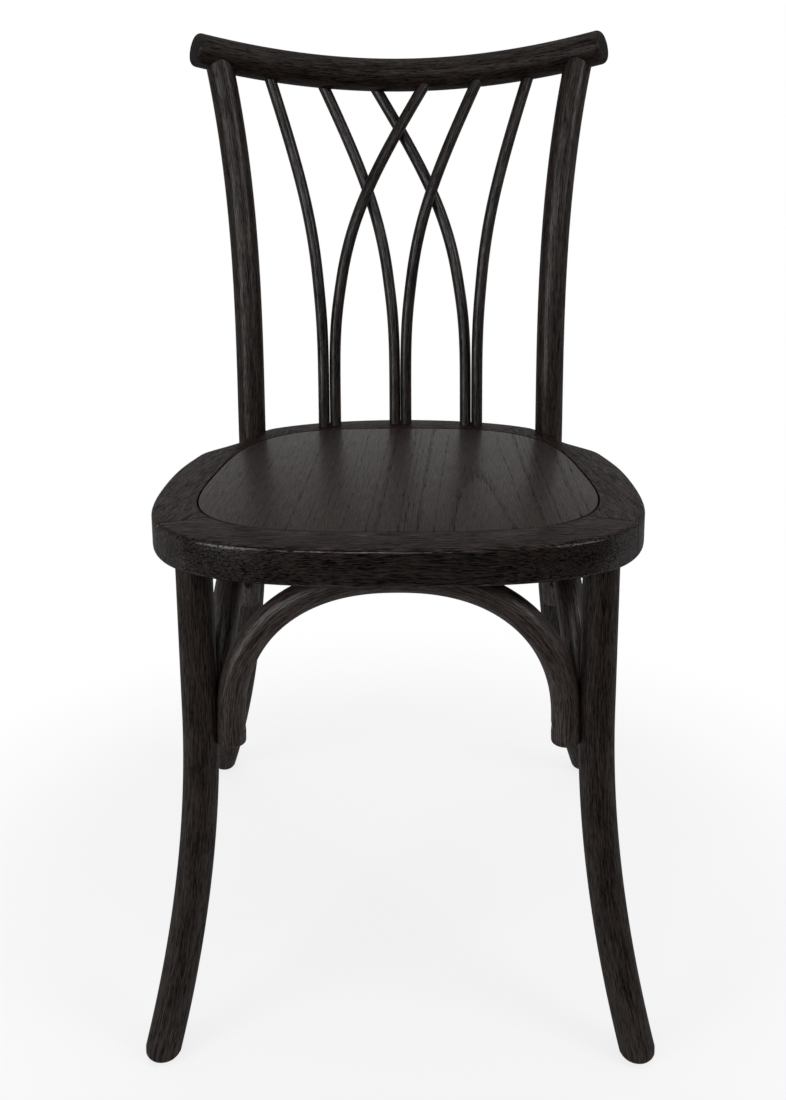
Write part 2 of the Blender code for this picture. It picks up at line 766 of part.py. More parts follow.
def make_bolt(name, side, leg, rail):
    """The bolt that draws the back leg into its notch, level with the ledge."""
    height = (SEAT_BOTTOM + LEDGE_TOP) / 2
    direction = Vector((-side * math.cos(BOLT_ANGLE), -math.sin(BOLT_ANGLE), 0))
    reach = BACK_LEG_DIAMETER / 2 - BOLT_SINK
    place = aimed(back_leg_point(height, side) - direction * reach, direction)
    label = f"back_leg_bolt_{name}"
    bolt = turned(label, bolt_profile(0.0, 0.0), ARCH_SIDES)
    hole = turned(label, bolt_profile(GAP, CUT_PAST), ARCH_SIDES)
    add_part(label, bolt, STEEL, place)
    drill = add_cutter("hole_" + label, hole, place)
    cut(leg, drill)
    cut(rail, drill)


def glide_profile(grow):
    """A nail-on glide: nail, disc with an eased lower edge, and flat sole."""
    nail = NAIL_DIAMETER / 2 + grow
    disc = GLIDE_DIAMETER / 2
    point = GLIDE_HEIGHT + NAIL_LENGTH + grow
    return [
        (0, point),
        (nail, point - NAIL_DIAMETER),
        (nail, GLIDE_HEIGHT),
        (disc, GLIDE_HEIGHT),
        (disc, GLIDE_EDGE),
        (disc - GLIDE_EDGE, 0),
        (0, 0),
    ]


def make_glide(name, leg, path):
    """A round glide under a foot, its nail up the middle of the leg."""
    base = foot_base(path)
    place = Matrix.Translation((base.x, base.y, 0))
    add_part(name, turned(name, glide_profile(0.0), GLIDE_SIDES), NYLON, place)
    nail = rod(name, NAIL_DIAMETER + 2 * GAP, 0, GLIDE_HEIGHT + NAIL_LENGTH + GAP, GLIDE_SIDES)
    cut(leg, add_cutter("hole_" + name, nail, place))


def stand_over_origin():
    """Moves the whole chair so that its outer box is centred front to back on the origin."""
    bpy.context.view_layer.update()
    graph = bpy.context.evaluated_depsgraph_get()
    reach = []
    for part in CHAIR.objects:
        shown = part.evaluated_get(graph)
        reach += [(shown.matrix_world @ vertex.co).y for vertex in shown.data.vertices]
    ROOT.location.y = -(min(reach) + max(reach)) / 2


def make_braces(front, back, rails):
    """The front arch and the two side arches. Legs come as pairs of leg and grown leg."""
    plane = box("arch_planer", (2 * SEAT_WIDTH, 2 * SEAT_DEPTH, CUT_PAST))
    lift = Matrix.Translation((0, 0, SEAT_BOTTOM - GAP + CUT_PAST / 2))
    planer = add_cutter("arch_planer", plane, lift)
    screws = screw_maker()
    legs, copes = zip(front["left"], front["right"])
    paths = [lambda z: front_leg_point(z, -1), lambda z: front_leg_point(z, 1)]
    sizes = [FRONT_LEG_DIAMETER, FRONT_LEG_DIAMETER]
    bend = ((0.0, 0.0), 0.0, 0.0)
    make_arch("front_arch", legs, copes, paths, sizes, planer, rails["front"], screws, *bend)
    sizes = [FRONT_LEG_DIAMETER, BACK_LEG_DIAMETER]
    for name, side in SIDES.items():
        legs, copes = zip(front[name], back[name])
        paths = [
            lambda z, side=side: front_leg_point(z, side),
            lambda z, side=side: back_leg_point(z, side),
        ]
        bend = (SIDE_ARCH_INSETS, SIDE_ARCH_LEAN, SIDE_SCREW_LIFT)
        make_arch(f"{name}_arch", legs, copes, paths, sizes, planer, rails[name], screws, *bend)


def build_chair():
    rails = make_seat_frame(make_dowels())
    make_panel()
    crest, cope = make_crest_rail()
    front = {}
    back = {}
    for name, side in SIDES.items():
        front[name] = make_front_leg(name, side, rails["front"])
        back[name] = make_back_leg(name, side, crest, cope, rails[name])
        make_bolt(name, side, back[name][0], rails[name])
        make_glide(f"glide_front_{name}", front[name][0], lambda z: front_leg_point(z, side))
        make_glide(f"glide_back_{name}", back[name][0], lambda z: back_leg_point(z, side))
    make_spindles(crest, rails["back"])
    make_braces(front, back, rails)
    stand_over_origin()


build_chair()
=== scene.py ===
import math

import bmesh
import bpy
from mathutils import Matrix, Vector
from mathutils.kdtree import KDTree


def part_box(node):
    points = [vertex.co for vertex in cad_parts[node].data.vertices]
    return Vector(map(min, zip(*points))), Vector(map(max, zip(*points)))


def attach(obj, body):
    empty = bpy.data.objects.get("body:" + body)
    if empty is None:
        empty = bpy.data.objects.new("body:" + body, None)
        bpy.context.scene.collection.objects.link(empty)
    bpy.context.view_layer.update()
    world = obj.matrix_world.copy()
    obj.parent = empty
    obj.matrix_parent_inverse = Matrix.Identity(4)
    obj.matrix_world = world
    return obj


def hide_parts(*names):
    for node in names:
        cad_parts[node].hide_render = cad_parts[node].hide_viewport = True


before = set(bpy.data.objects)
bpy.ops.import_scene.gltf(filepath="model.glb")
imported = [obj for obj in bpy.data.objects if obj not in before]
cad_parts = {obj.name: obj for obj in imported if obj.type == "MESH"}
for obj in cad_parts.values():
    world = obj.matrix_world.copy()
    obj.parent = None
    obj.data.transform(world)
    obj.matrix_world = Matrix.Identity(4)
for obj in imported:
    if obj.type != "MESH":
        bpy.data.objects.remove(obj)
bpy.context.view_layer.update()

# Seat frame: four solid rails of open-grained wood, stained black and sealed with a satin lacquer.
# They are sawn to one rounded outline, rounded over along the outer edges and dowelled together
# at four joints. A ledge inside carries the panel, and the back legs are let into the sides.
seat_top = 0.460
seat_underside = 0.4285
ledge_top = 0.446
ledge_width = 0.046
half_width = 0.2125
half_depth = 0.212
edge_steps = 48
side_rail_width = 0.041
end_rail_width = 0.042
panel_taper = 0.095
panel_squareness = 3.3
outer_rounding = 0.004
groove_rounding = 0.0008
joint_gap = 0.0003
joint_easing = 0.0005
post_spot = Vector((0.1575, 0.157))
front_joint = (Vector((0.1785, -0.1405)), math.radians(-23.0))
back_joint = (Vector((0.1211, 0.1662)), math.radians(46.0))
both_sides = (("left", -1), ("right", 1))
panel_low, panel_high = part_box("seat_panel")
seat_middle = Vector((0.0, (panel_low[1] + panel_high[1]) / 2, 0.0))


class Value:
    """A shader socket that adds Math nodes when it stands in an expression."""

    def __init__(self, finish, socket):
        self.finish = finish
        self.socket = socket

    def math(self, operation, *others):
        return self.finish.node("ShaderNodeMath", {"operation": operation}, [self, *others])

    def other(self, name):
        return Value(self.finish, self.socket.node.outputs[name])

    def band(self, low, high):
        ends = {"Value": self, "From Min": low, "From Max": high}
        return self.finish.node("ShaderNodeMapRange", {"interpolation_type": "SMOOTHSTEP"}, ends)

    def __add__(self, other):
        return self.math("ADD", other)

    def __sub__(self, other):
        return self.math("SUBTRACT", other)

    def __rsub__(self, other):
        return self.finish.node("ShaderNodeMath", {"operation": "SUBTRACT"}, [other, self])

    def __mul__(self, other):
        return self.math("MULTIPLY", other)

    def __truediv__(self, other):
        return self.math("DIVIDE", other)

    __radd__ = __add__
    __rmul__ = __mul__


class Finish:
    """The nodes of one finish: of a material, or of the studio's surroundings."""

    def __init__(self, owner):
        owner.use_nodes = True
        self.owner = owner
        self.tree = owner.node_tree
        self.shader = self.tree.nodes.get("Principled BSDF")

    def node(self, kind, settings=None, sockets=None, output=0):
        made = self.tree.nodes.new(kind)
        for name, setting in (settings or {}).items():
            setattr(made, name, setting)
        pairs = sockets.items() if isinstance(sockets, dict) else enumerate(sockets or [])
        for name, value in pairs:
            self.put(made.inputs[name], value)
        return Value(self, made.outputs[output])

    def put(self, socket, value):
        if isinstance(value, Value):
            self.tree.links.new(value.socket, socket)
        elif socket.type == "RGBA":
            socket.default_value = (*value, 1.0)
        else:
            socket.default_value = value

    def mix(self, share, first, second):
        return self.node("ShaderNodeMix", {"data_type": "RGBA"}, {0: share, 6: first, 7: second}, 2)

    def stretched(self, vector, scale):
        return self.node("ShaderNodeVectorMath", {"operation": "MULTIPLY"}, [vector, scale])

    def noise(self, vector, scale, detail=2.0):
        sockets = {"Vector": vector, "Scale": scale, "Detail": detail}
        return self.node("ShaderNodeTexNoise", {}, sockets)

    def surface(self, **sockets):
        for name, value in sockets.items():
            self.put(self.shader.inputs[name.replace("_", " ")], value)

    def bump(self, height, depth, strength):
        sockets = {"Height": height, "Distance": depth, "Strength": strength}
        return self.node("ShaderNodeBump", {}, sockets)


def new_finish(name):
    return Finish(bpy.data.materials.new(name))


def black_stained_wood(name, ring, pith, tilt, dark, light, figure, contrast, lacquer, gloss,
                       satin):
    """Wood that follows the mesh's own grain: across, depth and along, in metres.

    Yearly rings about an off-centre pith, rows of open pores in their early wood, fine fibres
    and mottling of the stain, under a thin lacquer that the pores break.
    """
    finish = new_finish(name)
    grain = finish.node("ShaderNodeAttribute", {"attribute_name": "grain"}, {}, "Vector")
    across = finish.node("ShaderNodeSeparateXYZ", {}, [grain])
    depth = across.other("Y") - pith[1]
    along = across.other("Z")

    def streaks(wide, long, detail=2.0):
        return finish.noise(finish.stretched(grain, (wide, wide, long)), 1.0, detail)

    wander = streaks(18.0, 2.0) - 0.5
    ragged = streaks(420.0, 60.0) - 0.5
    sideways = across - pith[0] + wander * 0.012
    height = depth + along * tilt + wander * 0.005
    radius = (sideways * sideways + height * height).math("SQRT")
    year = (radius + finish.noise(radius * 60.0, 1.0) * 0.024) / ring + ragged * 0.26
    year = year.math("FRACT")
    early_wood = (1 - year.band(0.04, 0.20)) * year.band(0.0, 0.03) * figure
    pores = streaks(1050.0, 34.0).band(0.53, 0.66) * (early_wood + 0.20)
    fibres = streaks(1150.0, 44.0, 3.0).band(0.34, 0.66)
    specks = streaks(1400.0, 150.0).band(0.36, 0.64)
    mottle = streaks(110.0, 24.0).band(0.30, 0.70)
    pale = (fibres * 0.50 + specks * 0.36 + mottle * 0.14 - 0.5) * contrast + 0.5
    pale = pale * (1 - early_wood * 0.5)
    stain = finish.mix(pale, dark, light)
    pore_black = (0.0010, 0.0007, 0.0006)
    finish.surface(
        Base_Color=finish.mix(pores, stain, pore_black),
        Roughness=0.62 + pores * 0.2,
        Specular_IOR_Level=0.02,
        Coat_Weight=lacquer * (0.35 + pale * 1.3) * (1 - pores * 0.85),
        Coat_Roughness=satin,
        Coat_IOR=gloss,
        Normal=finish.bump(fibres * 0.35 + specks * 0.3 - pores - early_wood * 0.4, 0.0004, 0.45),
    )
    return finish


def cubic(a, b, c, d, steps):
    """Points of one cubic bend, both ends included."""
    points = []
    for i in range(steps + 1):
        t = i / steps
        s = 1 - t
        points.append(s * s * s * a + 3 * s * s * t * b + 3 * s * t * t * c + t * t * t * d)
    return points


def seat_edge():
    """The right half of the seat's outline, from its front middle to its back middle."""
    front, back = Vector((0, -half_depth)), Vector((0, half_depth))
    side = Vector((half_width, -0.060))
    shoulder = post_spot + Vector((0.039, -0.0825))
    flat, corner = post_spot + Vector((0.009, -0.0445)), post_spot + Vector((-0.0125, 0.0115))
    front_bend, side_bend = front + Vector((0.165, 0)), side - Vector((0, 0.118))
    side_lead, shoulder_lead = side + Vector((0, 0.080)), shoulder + Vector((0.0075, -0.036))
    corner_lead, back_lead = corner + Vector((-0.026, 0.022)), back + Vector((0.070, 0))
    line = cubic(front, front_bend, side_bend, side, edge_steps)
    line += cubic(side, side_lead, shoulder_lead, shoulder, edge_steps)[1:]
    line += [shoulder.lerp(flat, i / 10) for i in range(1, 11)]
    line += [flat.lerp(corner, i / 12) for i in range(1, 13)]
    line += cubic(corner, corner_lead, back_lead, back, edge_steps)[1:]
    for sanding in range(10):
        eased = [(a + 2 * b + c) / 4 for a, b, c in zip(line, line[1:], line[2:])]
        line = [line[0], *eased, line[-1]]
    return line


def squared(value, squareness):
    return math.copysign(abs(value) ** (2 / squareness), value)


def panel_edge(inset):
    """The right half of the panel's outline, drawn in by inset."""
    wide, deep = half_width - side_rail_width - inset, half_depth - end_rail_width - inset
    line, steps = [], 180
    for i in range(steps + 1):
        turn = math.pi * (i / steps - 0.5)
        y = deep * squared(math.sin(turn), panel_squareness)
        reach = wide - panel_taper * y
        line.append(Vector((reach * squared(math.cos(turn), panel_squareness), y)))
    return line


def crossing(line, joint, side):
    """Where a joint's face, half a gap ahead or behind, crosses an outline."""
    spot, angle = joint
    face = Vector((-math.sin(angle), math.cos(angle)))
    spot = spot + face * side * joint_gap / 2
    for i, (a, b) in enumerate(zip(line, line[1:])):
        ahead, behind = (a - spot).dot(face), (b - spot).dot(face)
        if ahead * behind <= 0 and ahead != behind:
            return i, a.lerp(b, ahead / (ahead - behind))


def stretch_of(line, start, finish, steps):
    """An even run of points along an outline, from one crossing to another."""
    points = [start[1]] + line[start[0] + 1:finish[0] + 1] + [finish[1]]
    runs = [0.0]
    for a, b in zip(points, points[1:]):
        runs.append(runs[-1] + (b - a).length)
    even, k = [], 0
    for i in range(steps + 1):
        reach = runs[-1] * i / steps
        while k < len(runs) - 2 and runs[k + 1] < reach:
            k += 1
        share = (reach - runs[k]) / max(runs[k + 1] - runs[k], 1e-9)
        even.append(points[k].lerp(points[k + 1], min(max(share, 0.0), 1.0)))
    return even


def mirrored(points):
    return [Vector((-p.x, p.y)) for p in points]


def quarter(radius, steps):
    """Inset and drop of a rounded edge, from its side to its face."""
    turns = [math.pi / 2 * i / steps for i in range(steps + 1)]
    return [(radius * (1 - math.sin(a)), radius * (1 - math.cos(a))) for a in turns]


def rail_section():
    """Corners of a rail's section: which outline each one follows, how far in, and its height."""
    section = []
    for inset, drop in reversed(quarter(outer_rounding, 6)):
        section.append(("edge", drop, seat_underside + inset))
    for inset, drop in quarter(outer_rounding, 6):
        section.append(("edge", drop, seat_top - inset))
    for inset, drop in reversed(quarter(groove_rounding, 3)):
        section.append(("groove", -drop, seat_top - inset))
    section.append(("groove", 0.0, ledge_top))
    for inset, drop in reversed(quarter(groove_rounding, 2)):
        section.append(("groove", ledge_width - drop, ledge_top - inset))
    for inset, drop in quarter(groove_rounding, 2):
        section.append(("groove", ledge_width - drop, seat_underside + inset))
    return section


def loft(name, rings):
    """A closed skin through rings of points, with both ends filled and its faces outward."""
    count = len(rings[0])
    faces = []
    for k in range(len(rings) - 1):
        for i in range(count):
            j = (i + 1) % count
            low, high = k * count, (k + 1) * count
            faces.append((low + i, low + j, high + j, high + i))
    last = (len(rings) - 1) * count
    faces.append(tuple(range(count))[::-1])
    faces.append(tuple(range(last, last + count)))
    mesh = bpy.data.meshes.new(name)
    mesh.from_pydata([tuple(p) for ring in rings for p in ring], [], faces)
    skin = bmesh.new()
    skin.from_mesh(mesh)
    bmesh.ops.recalc_face_normals(skin, faces=skin.faces)
    skin.to_mesh(mesh)
    skin.free()
    return mesh


def rail_mesh(name, edge, groove, flip=False):
    """A rail lofted through sections that run from its outer edge to its groove."""
    for line in (edge, groove):
        share = joint_easing / (line[1] - line[0]).length
        line.insert(1, line[0].lerp(line[1], share))
        line.insert(-1, line[-1].lerp(line[-2], share))
    rings = []
    for i, (a, b) in enumerate(zip(edge, groove)):
        travel = edge[min(i + 1, len(edge) - 1)] - edge[max(i - 1, 0)]
        outward = Vector((travel.y, -travel.x)).normalized()
        inward = (b - a).normalized()
        slant = max(abs(inward.dot(outward)), 0.5)
        ring = []
        for follows, reach, height in rail_section():
            spot = a + inward * reach / slant if follows == "edge" else b + inward * reach
            ring.append(Vector((spot.x, spot.y, height)))
        if i in (0, len(edge) - 1):
            middle = sum(ring, Vector()) / len(ring)
            ring = [middle + (p - middle) * (1 - joint_easing / (p - middle).length) for p in ring]
        if flip:
            ring = [Vector((-p.x, p.y, p.z)) for p in ring]
        rings.append(ring)
    return loft(name, rings)


def bored(mesh, *tools):
    """The mesh with other meshes cut out of it."""
    held = []
    for part in (mesh, *tools):
        held.append(bpy.data.objects.new("on_the_bench", part))
        bpy.context.scene.collection.objects.link(held[-1])
    for tool in held[1:]:
        cut = held[0].modifiers.new("bore", "BOOLEAN")
        cut.operation, cut.solver, cut.object = "DIFFERENCE", "EXACT", tool
    graph = bpy.context.evaluated_depsgraph_get()
    done = bpy.data.meshes.new_from_object(held[0].evaluated_get(graph), depsgraph=graph)
    for part in held:
        bpy.data.objects.remove(part, do_unlink=True)
    return done


def lay_grain(mesh, start, direction):
    """Straight grain of a sawn board: across, depth and along, by place."""
    along = Vector(direction).normalized()
    across = along.cross(Vector((0, 0, 1))).normalized()
    grain = mesh.attributes.new("grain", "FLOAT_VECTOR", "POINT")
    for vertex, mark in zip(mesh.vertices, grain.data):
        mark.vector = (vertex.co.dot(across), vertex.co.z - seat_top, vertex.co.dot(along) + start)


def set_in(name, mesh, finish, node):
    """Puts a finished piece where its solid is, on the chair's one body."""
    mesh.transform(Matrix.Translation(seat_middle))
    mesh.materials.clear()
    mesh.materials.append(finish.owner)
    mesh.shade_smooth()
    mesh.set_sharp_from_angle(angle=math.radians(38.0))
    piece = bpy.data.objects.new(name, mesh)
    bpy.context.scene.collection.objects.link(piece)
    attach(piece, "root")
    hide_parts(node)
    return piece


def way_along(points):
    """Tangent and two sides at each point of a bent piece, carried along without twist."""
    tangents = []
    for i in range(len(points)):
        ahead = points[min(i + 1, len(points) - 1)] - points[max(i - 1, 0)]
        tangents.append(ahead.normalized())
    side = tangents[0].orthogonal().normalized()
    frames = []
    for tangent in tangents:
        side = (side - tangent * side.dot(tangent)).normalized()
        frames.append((tangent, side, tangent.cross(side)))
    return frames


def round_bar(name, points, radii, sides):
    """A round bar bent through points, with a radius at each of them."""
    rings = []
    for point, radius, (tangent, side, over) in zip(points, radii, way_along(points)):
        turns = [2 * math.pi * i / sides for i in range(sides)]
        rings.append([point + (side * math.cos(a) + over * math.sin(a)) * radius for a in turns])
    return loft(name, rings)


def spaced(low, high, steps):
    return [low + (high - low) * i / steps for i in range(steps + 1)]


crest_half = 0.2105
crest_back, crest_bow = 0.250, 0.0535
crest_height, crest_dip = 0.831, 0.0248


def crest_point(x):
    """The crest rail's middle line: back and low in the middle, forward and up at the ends."""
    share = (x / crest_half) ** 2
    return Vector((x, crest_back - crest_bow * share, crest_height + crest_dip * share))


back_leg_radius = 0.01425
back_leg_top = crest_point(0.188)
back_leg_splay, back_leg_rake = 0.068, 0.126
lean_out, lean_back, foot_bow = 2.8, 1.5, 2.2


def back_leg_point(z, side):
    """A back leg's middle at height z: upright at the seat, bowed above and below it."""
    if z >= seat_top:
        share = (z - seat_top) / (back_leg_top.z - seat_top)
        x = post_spot.x + (back_leg_top.x - post_spot.x) * share ** lean_out
        y = post_spot.y + (back_leg_top.y - post_spot.y) * share ** lean_back
    else:
        share = (1 - z / seat_top) ** foot_bow
        x = post_spot.x + back_leg_splay * share
        y = post_spot.y + back_leg_rake * share
    return Vector((side * x, y, z))


rail_finish = black_stained_wood(
    "stained_seat_rails", ring=0.0042, pith=(0.030, -0.055), tilt=0.020,
    dark=(0.0008, 0.0005, 0.0004), light=(0.0170, 0.0101, 0.0080),
    figure=0.90, contrast=2.1, lacquer=0.094, gloss=1.6, satin=0.34,
)
# The upright faces take a darker copy of the rails' stain, painted shade where the light from above
# misses them, under a flatter lacquer.
shaded_edge_finish = black_stained_wood(
    "stained_seat_edges_painted_shade", ring=0.0042, pith=(0.030, -0.055), tilt=0.020,
    dark=(0.0005, 0.0003, 0.0002), light=(0.0108, 0.0064, 0.0050),
    figure=0.40, contrast=2.1, lacquer=0.056, gloss=4.0, satin=0.26,
)


def dull_and_shade_edges(piece):
    """Gives the upright faces of a rail a duller, darker copy of its finish: the darker stain is
    painted shade.
    """
    piece.data.materials.append(shaded_edge_finish.owner)
    for face in piece.data.polygons:
        if abs(face.normal.z) < 0.6:
            face.material_index = 1


edge_line, groove_line = seat_edge(), panel_edge(0.0)
edges = [stretch_of(line, (0, line[0]), crossing(line, front_joint, -1), 60)
         for line in (edge_line, groove_line)]
front_rail = [mirrored(line[:0:-1]) + line for line in edges]
edges = [stretch_of(line, crossing(line, back_joint, 1), (len(line) - 2, line[-1]), 50)
         for line in (edge_line, groove_line)]
back_rail = [line + mirrored(line[-2::-1]) for line in edges]
for rail, (edge, groove), start in (("front", front_rail, 0.0), ("back", back_rail, 1.3)):
    mesh = rail_mesh(f"{rail}_rail", edge, groove)
    lay_grain(mesh, start, direction=(1, 0.02, 0))
    dull_and_shade_edges(set_in(f"{rail}_rail", mesh, rail_finish, f"seat_{rail}_rail"))
notch_low, notch_high = 0.36, 0.56
chord = back_joint[0] - front_joint[0]
for name, side in both_sides:
    edge, groove = [
        stretch_of(line, crossing(line, front_joint, 1), crossing(line, back_joint, -1), 110)
        for line in (edge_line, groove_line)
    ]
    mesh = rail_mesh(f"{name}_rail", edge, groove, side < 0)
    through = [back_leg_point(z, side) for z in spaced(notch_low, notch_high, 40)]
    notch = round_bar("notch", through, [back_leg_radius + joint_gap] * len(through), sides=48)
    mesh = bored(mesh, notch)
    lay_grain(mesh, start=2.7 + side, direction=(side * chord.x, chord.y, 0))
    dull_and_shade_edges(set_in(f"{name}_rail", mesh, rail_finish, f"seat_{name}_rail"))

# Seat panel: a flat board of the same wood, its grain running front to back, planed level with
# the rails and dropped on their ledge. Its eased edge leaves a fine groove all round.
panel_finish = black_stained_wood(
    "stained_seat_panel", ring=0.0056, pith=(0.072, -0.030), tilt=0.014,
    dark=(0.0052, 0.0034, 0.0029), light=(0.0226, 0.0157, 0.0134),
    figure=0.80, contrast=0.50, lacquer=0.24, gloss=1.4, satin=0.31,
)
panel_easing = 0.0010
panel_gap = 0.0012
rings = []
panel_steps = [(drop, seat_top - inset) for inset, drop in reversed(quarter(panel_easing, 4))]
panel_steps += [(0.0, ledge_top + joint_gap + panel_easing)]
panel_steps += [(panel_easing, ledge_top + joint_gap)]
for drawn_in, height in reversed(panel_steps):
    half = panel_edge(panel_gap + drawn_in)
    line = half + mirrored(half[-2:0:-1])
    rings.append([Vector((p.x, p.y, height)) for p in line])
panel = loft("panel", rings)
lay_grain(panel, start=5.0, direction=(0.03, 1, 0))
set_in("panel", panel, panel_finish, "seat_panel")

# Back legs: each one round bar of the same wood, steam-bent from the floor to the crest rail,
# bowed out and back below the seat and leaning back above it. A bolt draws each into its notch.
foot_floor = 0.0028
foot_rounding = 0.0065
bolt_height = 0.43725
bolt_angle = math.radians(19.0)
bolt_sink = 0.0025
bolt_pocket = [(0.0068, -0.020), (0.0068, 0.0003)]
frame_finish = black_stained_wood(
    "stained_frame", ring=0.0038, pith=(0.016, 0.030), tilt=0.020,
    dark=(0.0006, 0.0004, 0.0003), light=(0.0180, 0.0119, 0.0094),
    figure=0.12, contrast=1.4, lacquer=0.048, gloss=3.0, satin=0.36,
)


def footed(path, radius, heights):
    """Points and radii of a leg: a rounded upright foot, then the bend through heights."""
    base = path(foot_floor + foot_rounding)
    points, radii = [], []
    for inset, drop in quarter(foot_rounding, 6):
        points.append(Vector((base.x, base.y, foot_floor + drop)))
        radii.append(radius - inset)
    return points + [path(z) for z in heights], radii + [radius] * len(heights)


def grain_along(mesh, points, start):
    """Grain that follows a bent bar from end to end."""
    tree = KDTree(len(points))
    runs = [start]
    for i, point in enumerate(points):
        tree.insert(point, i)
        if i:
            runs.append(runs[-1] + (point - points[i - 1]).length)
    tree.balance()
    frames = way_along(points)
    grain = mesh.attributes.new("grain", "FLOAT_VECTOR", "POINT")
    for vertex, mark in zip(mesh.vertices, grain.data):
        spot, i, distance = tree.find(vertex.co)
        away = vertex.co - spot
        tangent, side, over = frames[i]
        mark.vector = (away.dot(side), away.dot(over), runs[i] + away.dot(tangent))


def aimed(origin, direction):
    """The place of a turned piece whose axis starts at origin and runs along direction."""
    turn = Vector(direction).to_track_quat("Z", "Y").to_matrix().to_4x4()
    return Matrix.Translation(origin) @ turn


def turned(name, profile, sides):
    """A turned piece about its axis, from radius and height along its profile."""
    rings = []
    for radius, height in profile:
        turns = [2 * math.pi * i / sides for i in range(sides)]
        rings.append([Vector((radius * math.cos(a), radius * math.sin(a), height)) for a in turns])
    return loft(name, rings)


def bolt_place(side):
    """Where a back leg's bolt enters it, pointing into the seat."""
    into = Vector((-side * math.cos(bolt_angle), -math.sin(bolt_angle), 0))
    return aimed(back_leg_point(bolt_height, side) - into * (back_leg_radius - bolt_sink), into)


for name, side in both_sides:
    path = lambda z: back_leg_point(z, side)
    heights = spaced(foot_floor + foot_rounding, back_leg_top.z, 150)[1:]
    points, radii = footed(path, back_leg_radius, heights)
    mesh = round_bar(f"back_leg_{name}", points, radii, sides=44)
    pocket = turned("pocket", bolt_pocket, sides=36)
    pocket.transform(bolt_place(side))
    mesh = bored(mesh, pocket)
    grain_along(mesh, points, start=7.0 + side)
    set_in(f"back_leg_{name}.wood", mesh, frame_finish, f"back_leg_{name}")

# Crest rail: one round bar, bent back in its middle and dipping there, its ends rounded over.
# The legs are tenoned into it from below, and the spindles stand in sockets along it. Its cut
# ends are end grain, which drinks more stain and stays dull.
crest_radius = 0.01725
crest_end_rounding = 0.005
ends = [(-crest_half + drop, inset) for inset, drop in quarter(crest_end_rounding, 8)]
middle = [(x, 0.0) for x in spaced(ends[-1][0], -ends[-1][0], 96)[1:-1]]
stations = ends + middle + [(-x, inset) for x, inset in reversed(ends)]
points = [crest_point(x) for x, inset in stations]
crest_radii = [crest_radius - inset for x, inset in stations]
mesh = round_bar("crest", points, crest_radii, sides=48)
grain_along(mesh, points, start=10.0)
crest_finish = black_stained_wood(
    "stained_crest_rail", ring=0.0038, pith=(0.016, 0.030), tilt=0.020,
    dark=(0.0006, 0.0004, 0.0003), light=(0.0160, 0.0105, 0.0082),
    figure=0.12, contrast=1.7, lacquer=0.026, gloss=3.0, satin=0.40,
)
crest = set_in("crest", mesh, crest_finish, "crest_rail")
end_finish = black_stained_wood(
    "stained_end_grain", ring=0.0026, pith=(0.021, 0.024), tilt=0.0,
    dark=(0.0004, 0.0003, 0.0002), light=(0.0060, 0.0042, 0.0036),
    figure=1.0, contrast=1.2, lacquer=0.012, gloss=1.4, satin=0.5,
)
crest.data.materials.append(end_finish.owner)
for face in crest.data.polygons:
    if abs(face.center.x) > crest_half - 0.001:
        face.material_index = 1

# Spindles: six slim round rods of the same wood, steam-bent once. Each stands upright in its
# socket in the back rail, then bends over to its socket in the crest rail. The four that cross
# keep to two layers, so that they pass clear.
spindle_radius = 0.00605
spindle_step = 0.0069
spindle_knee = 0.215
spindle_stiffness = 0.915
spindle_upright = 0.050
spindle_hold = 0.170
spindle_setback = 0.0185
spindle_socket = 0.014
spindle_drop = 0.006
spindle_plan = [(-0.1388, -0.08255, 0), (-0.0855, -0.00605, 1), (-0.0304, 0.07045, 1),
                (0.0304, -0.07045, -1), (0.0855, 0.00605, -1), (0.1388, 0.08255, 0)]
spindle_finish = black_stained_wood(
    "stained_spindles", ring=0.0030, pith=(0.008, 0.014), tilt=0.012,
    dark=(0.0006, 0.0004, 0.0003), light=(0.0130, 0.0091, 0.0076),
    figure=0.12, contrast=1.4, lacquer=0.066, gloss=3.0, satin=0.34,
)


def back_edge(x):
    """How far back the seat's outline reaches at x."""
    back_run = edge_line[-edge_steps - 1:]
    for a, b in zip(back_run, back_run[1:]):
        if b.x <= abs(x) <= a.x:
            return b.y + (a.y - b.y) * (abs(x) - b.x) / (a.x - b.x)


for number, (top_x, foot_x, layer) in enumerate(spindle_plan, 1):
    step = Vector((0, layer * spindle_step, 0))
    foot = Vector((foot_x, back_edge(foot_x) - spindle_setback, seat_top - spindle_socket))
    top = crest_point(top_x) - Vector((0, 0, spindle_drop))
    lean = spindle_knee / (top.z - foot.z)
    knee = Vector((foot_x, foot.y + (top.y - foot.y) * lean * lean, foot.z + spindle_knee)) + step
    top = top + step
    low, high = foot.lerp(knee, spindle_stiffness), top.lerp(knee, spindle_stiffness)
    points = cubic(foot, low, high, top, 90)
    for point in points:
        above = point.z - foot.z - spindle_upright
        rise = min(max(above / (spindle_hold - spindle_upright), 0.0), 1.0)
        point.x = foot_x + (point.x - foot_x) * rise * rise * (3 - 2 * rise)
    mesh = round_bar(f"spindle_{number}", points, [spindle_radius] * len(points), sides=28)
    grain_along(mesh, points, start=13.0 + number)
    set_in(f"spindle_{number}.wood", mesh, spindle_finish, f"spindle_{number}")

# Front legs: two round bars of the same wood, straight under the seat and bent out to the foot.
# A round tenon on each goes up into the front rail.
front_leg_radius = 0.015
front_leg_spot = (0.165, -0.157)
front_leg_splay, front_leg_rake = 0.0385, 0.042
front_leg_bend = 0.300


def front_leg_point(z, side):
    """A front leg's middle at height z: upright above the bend, splayed below it."""
    share = max(0.0, 1 - z / front_leg_bend) ** 2
    x, y = front_leg_spot
    return Vector((side * (x + front_leg_splay * share), y - front_leg_rake * share, z))


